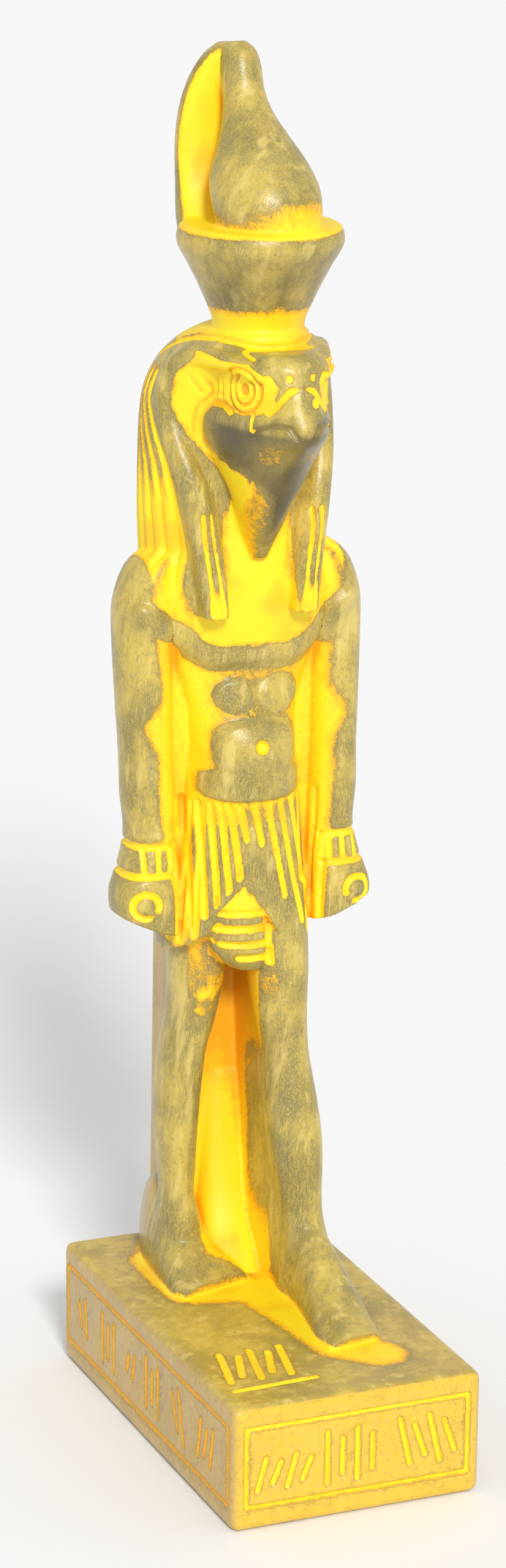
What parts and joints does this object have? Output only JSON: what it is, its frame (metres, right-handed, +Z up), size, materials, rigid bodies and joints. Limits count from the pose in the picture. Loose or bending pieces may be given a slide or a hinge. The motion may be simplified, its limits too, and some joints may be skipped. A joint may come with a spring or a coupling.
{
  "type": "falcon-headed deity figurine",
  "caption": "Slim striding falcon-headed figure with tall double crown, pleated kilt and arms at its sides, carved with a back pillar and engraved oblong plinth from one block of pigmented stone",
  "frame": {"origin": "centre of the plinth's underside", "axes": "+Z up through the crown, -Y the way the figure faces, +X the figure's left, which is the viewer's right from the front"},
  "size_m": [0.0413, 0.07, 0.2103],
  "materials": {
    "stone": "worn grey-olive stone with bright yellow pigment in its recesses, lightly polished on the raised places"
  },
  "bodies": {
    "root": {"figurine": "stone"}
  },
  "joints": []
}
